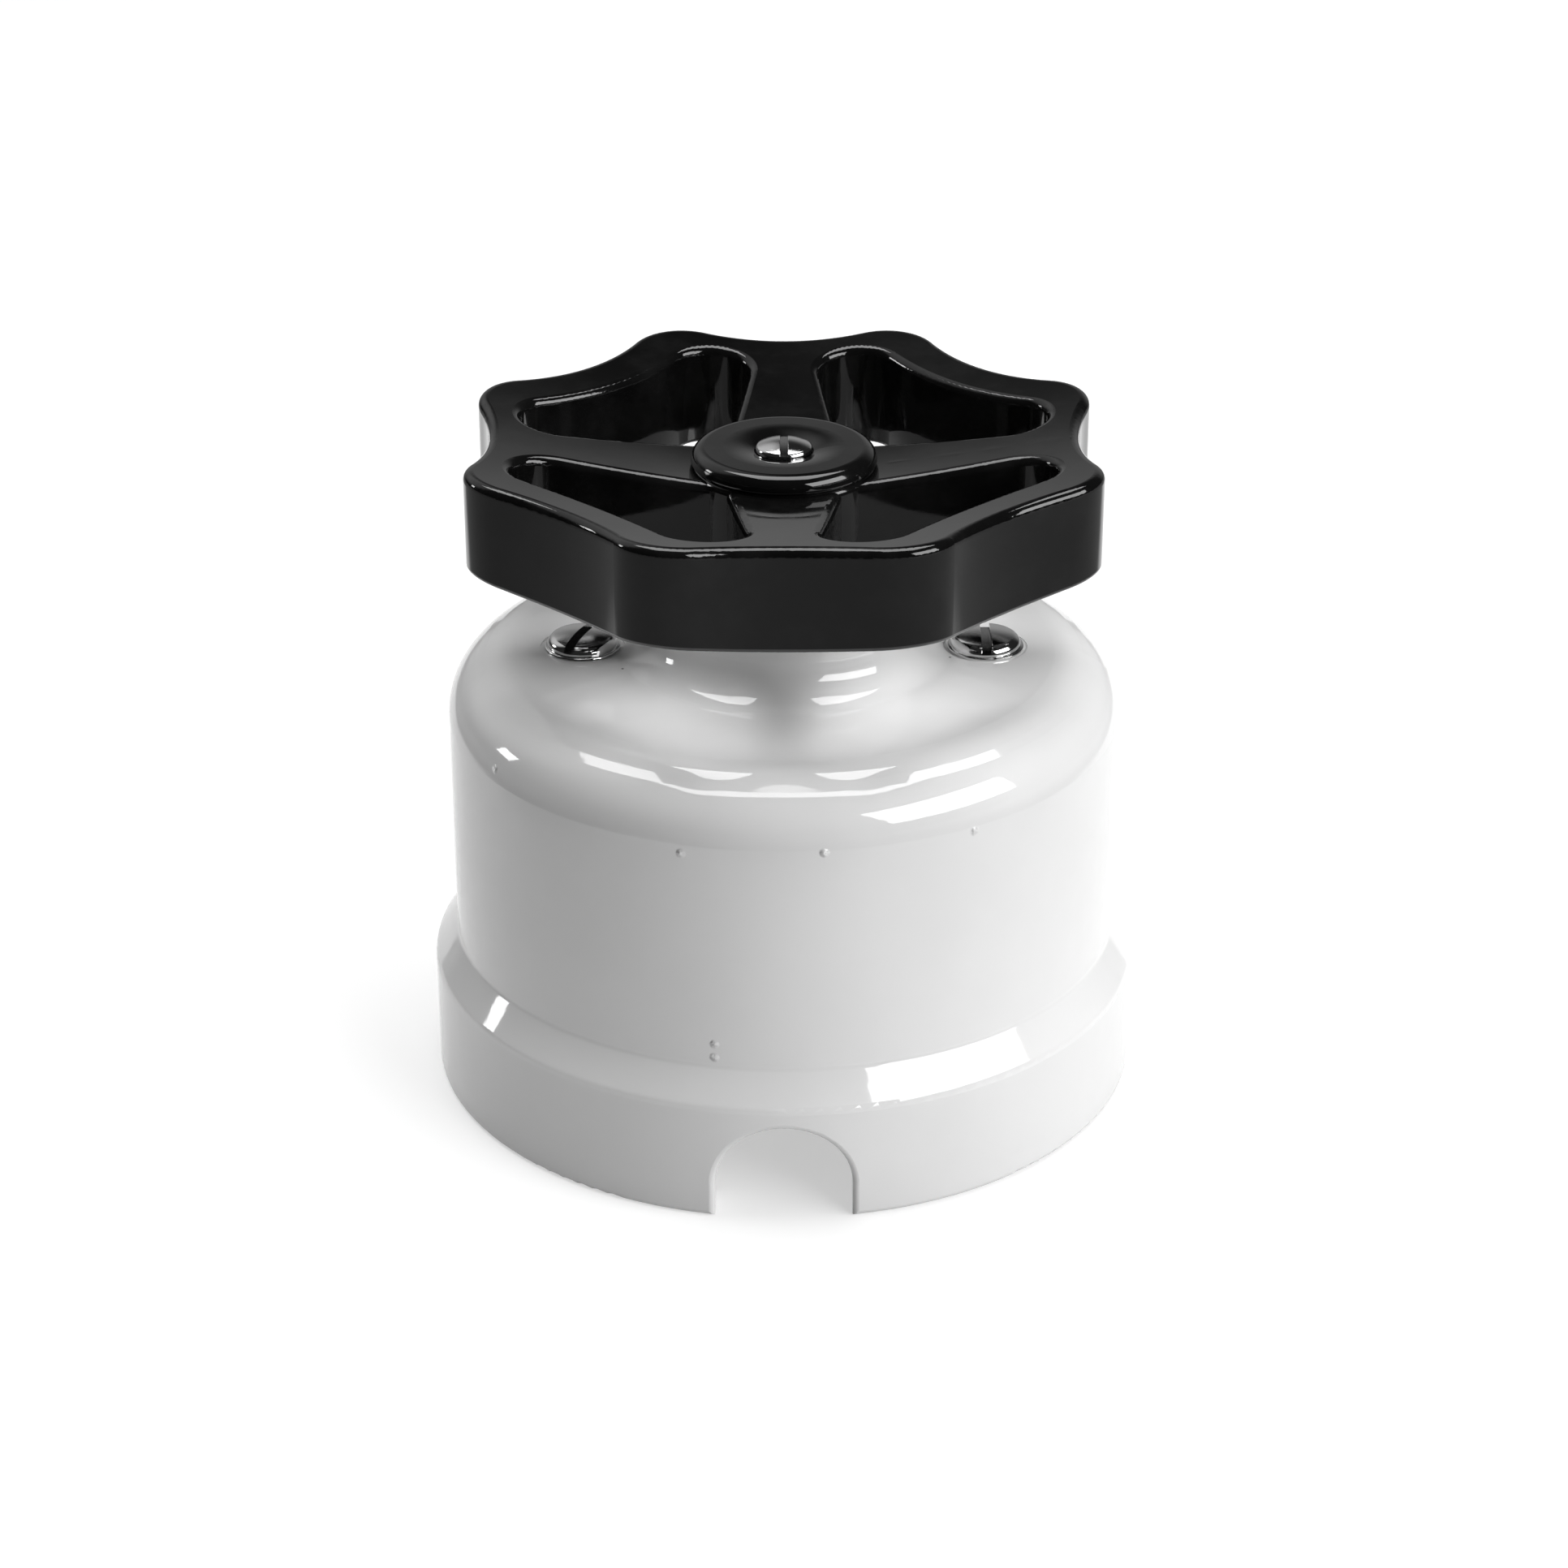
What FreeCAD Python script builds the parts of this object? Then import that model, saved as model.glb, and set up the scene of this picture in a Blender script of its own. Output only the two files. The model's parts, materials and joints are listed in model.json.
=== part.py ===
import FreeCAD, Part
import math
import os

from FreeCAD import Vector

# Surface-mounted porcelain rotary switch with a lobed handwheel.
# Millimetres. Origin at the centre of the wall face, +Z out of the wall, cable notch towards -Y.

# Porcelain cover, outside
flange_radius = 32.5
flange_height = 10.9
flange_edge_round = 1.2
shoulder_rise = 3.0
shoulder_round = 0.8
shoulder_step = 2.1
dome_height = 40.45
dome_edge_width = 4.58
dome_edge_drop = 2.59
dome_outer_round = 4.9
dome_inner_round = 5.5
neck_radius = 11.8
neck_rise = 7.55
neck_fillet = 3.4
neck_edge_round = 1.4
bore_edge_round = 0.4
foot_edge_round = 0.5

# Porcelain cover, inside
flange_wall = 4.2
body_wall = 4.0
dome_wall = 4.4
neck_wall = 4.4
inner_corner_round = 2.5
inner_step_drop = 0.9

# Cable notch in the front of the flange
notch_width = 12.0
notch_height = 9.05

# Screws that hold the cover, above the posts on the X axis
cover_screw_radius = 1.75
cover_screw_head_radius = 3.45
cover_screw_head_rim = 0.6
cover_screw_head_dome = 1.2
cover_screw_slot_width = 0.9
cover_screw_slot_depth = 1.15
cover_screw_grip = 12.0
cover_screw_seat_sink = 0.1
left_slot_angle = 69.0
right_slot_angle = 90.0

# Hexagonal posts, placed by a share of the free room between contact block and cover wall
post_across_flats = 7.0
post_place_share = 0.2656
post_screw_radius = 1.75
post_screw_head_radius = 3.1
post_screw_head_height = 1.8
post_screw_grip = 6.0

# Porcelain base disc
base_thickness = 6.5
base_edge_round = 0.6
base_relief_depth = 1.5
base_relief_width = 7.0
base_relief_inner_radius = 7.5
base_web = 2.8
cable_cutout_width = 14.0
cable_cutout_margin = 0.5
wall_screw_inset = 5.8
wall_screw_hole_radius = 2.1
wall_screw_sink_radius = 4.0
wall_screw_sink_depth = 3.0
wall_screw_angle = 45.0

# Contact block
block_radius = 13.0
block_height = 11.0
block_floor = 2.0
block_cavity_radius = 7.6
block_screw_radius = 1.45
block_screw_head_radius = 2.5
block_screw_head_height = 1.6
block_screw_slot_width = 0.7
block_screw_bite = 4.0
block_screw_turn = 30.0

# Terminals and fixed contacts, on the diagonals
terminal_count = 4
terminal_first_angle = 45.0
terminal_inner_radius = 10.5
terminal_length = 6.5
terminal_width = 6.0
terminal_recess = 1.0
terminal_wire_hole_radius = 1.4
terminal_wire_hole_depth = 4.5
terminal_wire_hole_height = 2.6
terminal_screw_radius = 1.25
terminal_screw_head_radius = 2.3
terminal_screw_head_height = 1.7
terminal_screw_slot_width = 0.6
contact_thickness = 0.6
contact_width = 4.0
contact_height = 4.5

# Spindle
pivot_radius = 2.0
spindle_radius = 3.2
spindle_square = 4.4
spindle_tap_depth = 8.0
washer_radius = 5.0
washer_thickness = 0.5

# Rotor drum, its contact bridge and the click cam
drum_radius = 6.0
drum_recess = 0.8
bridge_thickness = 0.9
bridge_height = 3.6
bridge_overlap_angle = 10.0
cam_width = 9.0
cam_height = 5.5
cam_corner_round = 1.2

# Steel yoke over the cam, and the flat click springs hooked on it
yoke_thickness = 1.0
yoke_width = 9.2
yoke_headroom = 1.7
spring_thickness = 0.4
spring_height = 3.5
spring_hook = 1.3
spring_gap = 0.2

# Bushing in the neck
bushing_wall = 1.75
bushing_flange_radius = 6.4
bushing_flange_thickness = 0.6
bushing_length = 9.0

# Handwheel
lobe_count = 8
spoke_count = 4
lobe_radius = 29.4
lobe_depth = 3.3
lobe_round = 5.5
wheel_gap = 0.9
hub_radius = 8.2
hub_height = 9.3
hub_edge_round = 0.7
hub_foot_round = 0.5
dish_top_hub_rise = 9.0
dish_top_mid_rise = 10.45
dish_top_rim_rise = 12.45
dish_bottom_hub_rise = 0.6
dish_bottom_mid_rise = 0.85
dish_bottom_rim_rise = 4.0
dish_inner_radius = 7.4
dish_mid_radius = 18.0
rim_width = 4.5
rim_inner_arc_share = 1.76
spoke_half_width = 3.4
spoke_narrow_inset = 2.8
spoke_taper = 7.4
window_outer_round = 3.6
window_inner_round = 1.6
wheel_top_round = 0.8
wheel_bottom_round = 0.4

# Cap disc under the centre screw
cap_radius = 8.24
cap_thickness = 1.55
cap_edge_round = 1.2
cap_foot_round = 0.3
cap_crest_radius = 5.4
cap_dish_round = 8.2
cap_recess_radius = 2.65
cap_recess_floor = 0.7

# Centre screw
centre_screw_radius = 1.45
centre_screw_head_radius = 2.45
centre_screw_head_rim = 0.9
centre_screw_head_dome = 0.85
centre_screw_slot_width = 0.7
centre_screw_slot_depth = 0.9

# Shared by all screws, as shares of the head height or of the shank radius
head_rim_share = 0.7
head_slot_share = 0.5
shank_chamfer_share = 0.25
tap_end_margin = 1.0

# Clearances
base_to_cover_clearance = 0.5
screw_hole_clearance = 0.35
thread_clearance = 0.05
running_clearance = 0.05
square_clearance = 0.06
pocket_clearance = 0.1
contact_gap = 0.35
thrust_gap = 0.3
head_recess = 0.4
head_clearance = 0.2
cam_swing_clearance = 0.7
cam_foot_clearance = 0.8

# Values worked out from the ones above
body_radius = flange_radius - shoulder_step
shoulder_height = flange_height + shoulder_rise
neck_height = dome_height + neck_rise
flange_inner_radius = flange_radius - flange_wall
inner_step_height = flange_height - inner_step_drop
body_inner_radius = body_radius - body_wall
ceiling_height = dome_height - dome_wall
base_radius = flange_inner_radius - base_to_cover_clearance
post_room = body_inner_radius - block_radius - post_across_flats
cover_screw_x = block_radius + post_across_flats / 2 + post_place_share * post_room
wall_screw_radius = base_radius - wall_screw_inset
cable_cutout_centre = block_radius + cable_cutout_margin + cable_cutout_width / 2
screw_seat_height = dome_height - cover_screw_seat_sink
block_top = base_thickness + block_height
cavity_floor = base_thickness + block_floor
washer_top = cavity_floor + washer_thickness
drum_bottom = washer_top + thrust_gap
drum_top = block_top - drum_recess
cam_bottom = block_top + yoke_thickness + cam_foot_clearance
cam_top = cam_bottom + cam_height
terminal_bottom = cavity_floor
terminal_top = block_top - terminal_recess
bridge_radius = drum_radius + bridge_thickness
contact_face_radius = bridge_radius + contact_gap
cam_corner_reach = cam_width / math.sqrt(2) - cam_corner_round * (math.sqrt(2) - 1)
yoke_upright_offset = cam_corner_reach + cam_swing_clearance
yoke_outer = yoke_upright_offset + yoke_thickness
yoke_top = cam_top + yoke_headroom + yoke_thickness
block_screw_y = yoke_outer + block_screw_head_radius + head_clearance
yoke_foot_end = block_screw_y + block_screw_head_radius
bushing_bore_radius = spindle_radius + running_clearance
bushing_radius = bushing_bore_radius + bushing_wall
hub_bottom = neck_height + wheel_gap
hub_top = hub_bottom + hub_height
cap_top = hub_top + cap_thickness
valley_radius = lobe_radius - lobe_depth
rim_inner_radius = valley_radius - rim_width
rim_inner_arc_radius = rim_inner_arc_share * rim_inner_radius
spoke_narrow_radius = rim_inner_radius - spoke_narrow_inset
dish_top_hub = hub_bottom + dish_top_hub_rise
dish_top_mid = hub_bottom + dish_top_mid_rise
dish_top_rim = hub_bottom + dish_top_rim_rise
dish_bottom_hub = hub_bottom + dish_bottom_hub_rise
dish_bottom_mid = hub_bottom + dish_bottom_mid_rise
dish_bottom_rim = hub_bottom + dish_bottom_rim_rise
spindle_top = hub_top - thrust_gap
square_hole = spindle_square + 2 * square_clearance
outer_margin = 5.0
touch = 0.01

AXIS = Vector(0, 0, 1)
ORIGIN = Vector(0, 0, 0)


def point(radius, height):
    return Vector(radius, 0, height)


def arc_points(centre, radius, start, middle, end):
    """Three points of an arc about a centre in the r-z plane, at angles in degrees."""
    spots = []
    for angle in (start, middle, end):
        turn = math.radians(angle)
        spots.append(centre + Vector(radius * math.cos(turn), 0, radius * math.sin(turn)))
    return spots


def rounded_corner(before, corner, after, radius):
    """Three points of the arc that rounds a corner between two straight runs."""
    to_before = (before - corner).normalize()
    to_after = (after - corner).normalize()
    half = to_before.getAngle(to_after) / 2
    reach = radius / math.tan(half)
    inward = (to_before + to_after).normalize()
    middle = corner + inward * (radius / math.sin(half) - radius)
    return [corner + to_before * reach, middle, corner + to_after * reach]


def closed_wire(items):
    """Closed wire through corners (Vector, rounding) and arcs (lists of three points)."""
    runs = []
    for index, item in enumerate(items):
        if isinstance(item, list):
            runs.append(item)
            continue
        corner, radius = item
        if radius == 0:
            runs.append([corner])
            continue
        previous = items[index - 1]
        following = items[(index + 1) % len(items)]
        before = previous[-1] if isinstance(previous, list) else previous[0]
        after = following[0]
        runs.append(rounded_corner(before, corner, after, radius))
    edges = []
    for index, run in enumerate(runs):
        if len(run) == 3:
            edges.append(Part.Arc(*run).toShape())
        start = run[-1]
        end = runs[(index + 1) % len(runs)][0]
        if start.distanceToPoint(end) > 1e-6:
            edges.append(Part.makeLine(start, end))
    return Part.Wire(edges)


def revolved(items):
    return Part.Face(closed_wire(items)).revolve(ORIGIN, AXIS, 360)


def prism(wire, bottom, top):
    face = Part.Face(wire)
    face.translate(AXIS * bottom)
    return face.extrude(AXIS * (top - bottom))


def cylinder(radius, bottom, top, x=0.0, y=0.0):
    return Part.makeCylinder(radius, top - bottom, Vector(x, y, bottom))


def tube(outer, inner, bottom, top):
    return cylinder(outer, bottom, top).cut(cylinder(inner, bottom, top))


def block(x0, x1, y0, y1, z0, z1):
    return Part.makeBox(x1 - x0, y1 - y0, z1 - z0, Vector(x0, y0, z0))


def square_bar(width, bottom, top, corner_round=0.0):
    half = width / 2
    corners = [(half, half), (-half, half), (-half, -half), (half, -half)]
    wire = Part.makePolygon([Vector(x, y, 0) for x, y in corners + corners[:1]])
    bar = prism(wire, bottom, top)
    if corner_round:
        bar = bar.makeFillet(corner_round, vertical_edges(bar))
    return bar


def vertical_edges(shape):
    picked = []
    for edge in shape.Edges:
        first = edge.Vertexes[0].Point
        last = edge.Vertexes[-1].Point
        if math.hypot(first.x - last.x, first.y - last.y) < 1e-6 and abs(first.z - last.z) > 1e-6:
            picked.append(edge)
    return picked


def turned(shape, angle, centre=ORIGIN):
    copy = shape.copy()
    copy.rotate(centre, AXIS, angle)
    return copy


def moved(shape, x, y, z=0.0):
    copy = shape.copy()
    copy.translate(Vector(x, y, z))
    return copy


def slotted_screw(seat, shank_radius, shank_length, head_radius, rim, dome, slot_width, slot_depth):
    """Screw along Z with its head on the seat height and its slot along Y."""
    rim_top = seat + rim
    head_top = rim_top + dome
    dome_radius = (head_radius ** 2 + dome ** 2) / (2 * dome)
    half_angle = math.degrees(math.asin(head_radius / dome_radius))
    centre = point(0, head_top - dome_radius)
    cap = arc_points(centre, dome_radius, 90 - half_angle, 90 - half_angle / 2, 90)
    chamfer = shank_radius * shank_chamfer_share
    screw = revolved([
        (point(0, seat - shank_length), 0),
        (point(shank_radius - chamfer, seat - shank_length), 0),
        (point(shank_radius, seat - shank_length + chamfer), 0),
        (point(shank_radius, seat), 0),
        (point(head_radius, seat), 0),
        cap,
    ])
    slot = block(-slot_width / 2, slot_width / 2, -head_radius, head_radius,
                 head_top - slot_depth, head_top + dome)
    return screw.cut(slot)


def make_cover():
    """Glazed porcelain cover: flange, straight body, domed top and neck in one pressing."""
    bore_radius = bushing_radius + thread_clearance
    neck_inner_radius = neck_radius - neck_wall
    neck_ceiling = neck_height - neck_wall
    shell = revolved([
        (point(flange_inner_radius, 0), 0),
        (point(flange_radius, 0), 0),
        (point(flange_radius, flange_height), flange_edge_round),
        (point(body_radius, shoulder_height), shoulder_round),
        (point(body_radius, dome_height - dome_edge_drop), dome_outer_round),
        (point(body_radius - dome_edge_width, dome_height), dome_inner_round),
        (point(neck_radius, dome_height), neck_fillet),
        (point(neck_radius, neck_height), neck_edge_round),
        (point(bore_radius, neck_height), bore_edge_round),
        (point(bore_radius, neck_ceiling), 0),
        (point(neck_inner_radius, neck_ceiling), 0),
        (point(neck_inner_radius, ceiling_height), 0),
        (point(body_inner_radius, ceiling_height), inner_corner_round),
        (point(body_inner_radius, inner_step_height), 0),
        (point(flange_inner_radius, inner_step_height), 0),
    ])
    half = notch_width / 2
    straight = notch_height - half
    outside = flange_radius + outer_margin
    arch = [Vector(half, -outside, straight), Vector(0, -outside, notch_height),
            Vector(-half, -outside, straight)]
    notch_wire = Part.Wire([
        Part.makeLine(Vector(-half, -outside, -outer_margin), Vector(half, -outside, -outer_margin)),
        Part.makeLine(Vector(half, -outside, -outer_margin), arch[0]),
        Part.Arc(*arch).toShape(),
        Part.makeLine(arch[2], Vector(-half, -outside, -outer_margin)),
    ])
    notch = Part.Face(notch_wire).extrude(Vector(0, outside - half, 0))
    shell = shell.cut(notch)
    shell = shell.makeFillet(foot_edge_round, outer_foot_edges(shell))
    for side in (-1, 1):
        x = side * cover_screw_x
        seat_radius = cover_screw_head_radius + screw_hole_clearance
        shell = shell.cut(cylinder(seat_radius, screw_seat_height, dome_height + outer_margin, x))
        hole_radius = cover_screw_radius + screw_hole_clearance
        shell = shell.cut(cylinder(hole_radius, ceiling_height - outer_margin, dome_height, x))
    return shell


def outer_foot_edges(shell):
    """Edges of the foot and of the notch that lie on the outside of the flange."""
    picked = []
    for edge in shell.Edges:
        middle = edge.valueAt((edge.FirstParameter + edge.LastParameter) / 2)
        start = edge.valueAt(edge.FirstParameter)
        starts_outside = math.hypot(start.x, start.y) > flange_radius - touch
        stays_outside = math.hypot(middle.x, middle.y) > flange_radius - touch
        on_foot = edge.BoundBox.ZMax < touch
        in_notch = abs(middle.x) < notch_width / 2 + touch and edge.BoundBox.ZMax < notch_height + touch
        if starts_outside and stays_outside and (on_foot or in_notch):
            picked.append(edge)
    return picked


def make_base():
    """Porcelain base disc that carries the posts and the contact block."""
    disc = revolved([
        (point(0, 0), 0),
        (point(base_radius, 0), base_edge_round),
        (point(base_radius, base_thickness), base_edge_round),
        (point(0, base_thickness), 0),
    ])
    relief_outer = base_relief_inner_radius + base_relief_width
    disc = disc.cut(tube(relief_outer, base_relief_inner_radius, 0, base_relief_depth))
    half = cable_cutout_width / 2
    slot = block(-half, half, -base_radius - outer_margin, -cable_cutout_centre, 0, base_thickness)
    disc = disc.cut(slot.fuse(cylinder(half, 0, base_thickness, 0, -cable_cutout_centre)))
    for turn in (0, 180):
        angle = math.radians(wall_screw_angle + turn)
        x = wall_screw_radius * math.cos(angle)
        y = wall_screw_radius * math.sin(angle)
        sink_bottom = base_thickness - wall_screw_sink_depth
        disc = disc.cut(cylinder(wall_screw_hole_radius, 0, base_thickness, x, y))
        disc = disc.cut(cylinder(wall_screw_sink_radius, sink_bottom, base_thickness, x, y))
    for side in (-1, 1):
        x = side * cover_screw_x
        head_pocket = head_recess + post_screw_head_height
        disc = disc.cut(cylinder(post_screw_radius + screw_hole_clearance, 0, base_thickness, x))
        disc = disc.cut(cylinder(post_screw_head_radius + screw_hole_clearance, 0, head_pocket, x))
        y = side * block_screw_y
        bite_bottom = base_thickness - block_screw_bite - thread_clearance
        disc = disc.cut(cylinder(block_screw_radius + thread_clearance, bite_bottom, base_thickness, 0, y))
    disc = disc.cut(cylinder(pivot_radius + running_clearance, base_web, base_thickness))
    return disc


def make_post(side):
    """Brass hexagonal post, tapped at both ends."""
    across_corners = post_across_flats / math.cos(math.radians(30))
    corners = []
    for step in range(7):
        angle = math.radians(60 * step + 30)
        corners.append(Vector(across_corners / 2 * math.cos(angle), across_corners / 2 * math.sin(angle), 0))
    post = prism(Part.makePolygon(corners), base_thickness, ceiling_height)
    top_tap = ceiling_height - cover_screw_grip + dome_wall - cover_screw_seat_sink - tap_end_margin
    post = post.cut(cylinder(cover_screw_radius + thread_clearance, top_tap, ceiling_height))
    bottom_tap = base_thickness + post_screw_grip + tap_end_margin
    post = post.cut(cylinder(post_screw_radius + thread_clearance, base_thickness, bottom_tap))
    return moved(post, side * cover_screw_x, 0)


def make_post_screw(side):
    """Flat-headed screw that comes up through the base into the post."""
    seat = head_recess + post_screw_head_height
    tip = base_thickness + post_screw_grip
    screw = cylinder(post_screw_radius, seat, tip).fuse(cylinder(post_screw_head_radius, head_recess, seat))
    slot_half = cover_screw_slot_width / 2
    slot = block(-slot_half, slot_half, -post_screw_head_radius, post_screw_head_radius,
                 head_recess, head_recess + post_screw_head_height * head_slot_share)
    return moved(screw.cut(slot), side * cover_screw_x, 0)


def make_cover_screw(side, slot_angle):
    screw = slotted_screw(screw_seat_height, cover_screw_radius, cover_screw_grip,
                          cover_screw_head_radius, cover_screw_head_rim, cover_screw_head_dome,
                          cover_screw_slot_width, cover_screw_slot_depth)
    return moved(turned(screw, slot_angle - 90), side * cover_screw_x, 0)


def make_contact_block():
    """Round ceramic block with a cavity for the rotor and four pockets for the terminals."""
    body = cylinder(block_radius, base_thickness, block_top)
    body = body.cut(cylinder(block_cavity_radius, cavity_floor, block_top))
    body = body.cut(cylinder(pivot_radius + screw_hole_clearance, base_thickness, cavity_floor))
    pocket_half = terminal_width / 2 + pocket_clearance
    slot_half = contact_width / 2 + pocket_clearance
    pocket = block(terminal_inner_radius - pocket_clearance, block_radius + outer_margin,
                   -pocket_half, pocket_half, terminal_bottom, block_top)
    slot = block(0, terminal_inner_radius, -slot_half, slot_half, terminal_bottom, block_top)
    for angle in terminal_angles():
        body = body.cut(turned(pocket.fuse(slot), angle))
    for side in (-1, 1):
        y = side * block_screw_y
        hole_radius = block_screw_radius + thread_clearance
        body = body.cut(cylinder(hole_radius, base_thickness, block_top, 0, y))
    return body


def terminal_angles():
    return [terminal_first_angle + 360 / terminal_count * index for index in range(terminal_count)]


def make_terminal(angle):
    """Brass terminal block with a wire hole from outside and a tapped hole from above."""
    outer = terminal_inner_radius + terminal_length
    half = terminal_width / 2
    body = block(terminal_inner_radius, outer, -half, half, terminal_bottom, terminal_top)
    hole_height = terminal_bottom + terminal_wire_hole_height
    start = Vector(outer - terminal_wire_hole_depth, 0, hole_height)
    wire_hole = Part.makeCylinder(terminal_wire_hole_radius, terminal_wire_hole_depth, start, Vector(1, 0, 0))
    body = body.cut(wire_hole)
    tap_x = terminal_inner_radius + terminal_length / 2
    tap = cylinder(terminal_screw_radius + thread_clearance, hole_height, terminal_top, tap_x)
    return turned(body.cut(tap), angle)


def make_terminal_screw(angle):
    reach = terminal_top - terminal_bottom - terminal_wire_hole_height - terminal_wire_hole_radius
    rim = terminal_screw_head_height * head_rim_share
    screw = slotted_screw(terminal_top, terminal_screw_radius, reach, terminal_screw_head_radius,
                          rim, terminal_screw_head_height - rim,
                          terminal_screw_slot_width, terminal_screw_head_height * head_slot_share)
    tap_x = terminal_inner_radius + terminal_length / 2
    return turned(moved(screw, tap_x, 0), angle)


def make_fixed_contact(angle):
    """Bronze angle: a tongue against the terminal and a blade facing the rotor."""
    half = contact_width / 2
    blade_bottom = drum_bottom + thrust_gap
    tongue_bottom = blade_bottom + contact_height
    blade = block(contact_face_radius, contact_face_radius + contact_thickness, -half, half,
                  blade_bottom, tongue_bottom + contact_thickness)
    tongue = block(contact_face_radius, terminal_inner_radius, -half, half,
                   tongue_bottom, tongue_bottom + contact_thickness)
    return turned(blade.fuse(tongue).removeSplitter(), angle)


def make_block_screw(side):
    seat = block_top + yoke_thickness
    rim = block_screw_head_height * head_rim_share
    length = seat - base_thickness + block_screw_bite
    screw = slotted_screw(seat, block_screw_radius, length, block_screw_head_radius,
                          rim, block_screw_head_height - rim,
                          block_screw_slot_width, block_screw_head_height * head_slot_share)
    return moved(turned(screw, block_screw_turn * side), 0, side * block_screw_y)


def make_yoke():
    """Bent steel strap over the cam, with the upper bearing of the spindle."""
    half = yoke_width / 2
    inner = yoke_upright_offset
    outer = yoke_outer
    foot_end = yoke_foot_end
    foot_top = block_top + yoke_thickness
    corners = [
        (foot_end, block_top), (inner, block_top), (inner, yoke_top - yoke_thickness),
        (-inner, yoke_top - yoke_thickness), (-inner, block_top), (-foot_end, block_top),
        (-foot_end, foot_top), (-outer, foot_top), (-outer, yoke_top),
        (outer, yoke_top), (outer, foot_top), (foot_end, foot_top),
    ]
    wire = Part.makePolygon([Vector(-half, y, z) for y, z in corners + corners[:1]])
    strap = Part.Face(wire).extrude(Vector(yoke_width, 0, 0))
    bearing = cylinder(spindle_radius + running_clearance, yoke_top - yoke_thickness, yoke_top)
    strap = strap.cut(bearing)
    for side in (-1, 1):
        y = side * block_screw_y
        strap = strap.cut(cylinder(block_screw_radius + thread_clearance, block_top, foot_top, 0, y))
    return strap


def make_click_spring(side):
    """Flat spring along one side of the cam, hooked round the uprights of the yoke."""
    inner = max(cam_width, yoke_width) / 2 + spring_gap
    outer = inner + spring_thickness
    reach = yoke_outer + pocket_clearance
    tip = inner - spring_hook
    corners = [
        (inner, -reach), (inner, reach), (tip, reach), (tip, reach + spring_thickness),
        (outer, reach + spring_thickness), (outer, -reach - spring_thickness),
        (tip, -reach - spring_thickness), (tip, -reach),
    ]
    wire = Part.makePolygon([Vector(side * x, y, 0) for x, y in corners + corners[:1]])
    bottom = cam_bottom + (cam_height - spring_height) / 2
    return prism(wire, bottom, bottom + spring_height)


def make_spindle():
    """Steel spindle: pivot, square for rotor and cam, round journal, square for the handwheel."""
    pivot = cylinder(pivot_radius, base_web + thrust_gap, drum_bottom)
    lower_square = square_bar(spindle_square, drum_bottom, cam_top)
    journal = cylinder(spindle_radius, cam_top, hub_bottom)
    upper_square = square_bar(spindle_square, hub_bottom, spindle_top)
    spindle = pivot.fuse([lower_square, journal, upper_square]).removeSplitter()
    tap = cylinder(centre_screw_radius + thread_clearance, spindle_top - spindle_tap_depth, spindle_top)
    return spindle.cut(tap)


def make_washer():
    return tube(washer_radius, pivot_radius + running_clearance, cavity_floor, washer_top)


def make_drum():
    """Moulded rotor drum under the contact bridge."""
    body = cylinder(drum_radius, drum_bottom, drum_top)
    return body.cut(square_bar(square_hole, drum_bottom, drum_top))


def make_contact_bridge():
    """Bronze sector round the drum that joins two neighbouring contacts."""
    sweep = 360 / terminal_count + 2 * bridge_overlap_angle
    bottom = drum_bottom + thrust_gap
    top = bottom + bridge_height
    seat_radius = drum_radius + thread_clearance
    profile = Part.makePolygon([
        point(seat_radius, bottom), point(bridge_radius, bottom),
        point(bridge_radius, top), point(seat_radius, top), point(seat_radius, bottom),
    ])
    sector = Part.Face(profile).revolve(ORIGIN, AXIS, sweep)
    return turned(sector, terminal_first_angle - bridge_overlap_angle)


def make_spacer():
    """Sleeve between the drum and the cam."""
    return cylinder(drum_radius - bridge_thickness, drum_top, cam_bottom).cut(
        square_bar(square_hole, drum_top, cam_bottom))


def make_cam():
    body = square_bar(cam_width, cam_bottom, cam_top, cam_corner_round)
    return body.cut(square_bar(square_hole, cam_bottom, cam_top))


def make_bushing():
    """Flanged brass bushing let into the neck from above."""
    flange_top = neck_height + bushing_flange_thickness
    return revolved([
        (point(bushing_bore_radius, neck_height - bushing_length), 0),
        (point(bushing_radius, neck_height - bushing_length), 0),
        (point(bushing_radius, neck_height), 0),
        (point(bushing_flange_radius, neck_height), 0),
        (point(bushing_flange_radius, flange_top), 0),
        (point(bushing_bore_radius, flange_top), 0),
    ])


def polar(radius, angle):
    turn = math.radians(angle)
    return Vector(radius * math.cos(turn), radius * math.sin(turn), 0)


def tangent_valley(centre_distance, round_radius, valley, half_angle):
    """Radius of the hollow arc that is tangent to two round corners and dips to the valley."""
    spread = math.cos(math.radians(half_angle))
    top = centre_distance ** 2 + valley ** 2 - 2 * centre_distance * valley * spread - round_radius ** 2
    return top / (2 * (round_radius - valley + centre_distance * spread))


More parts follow.
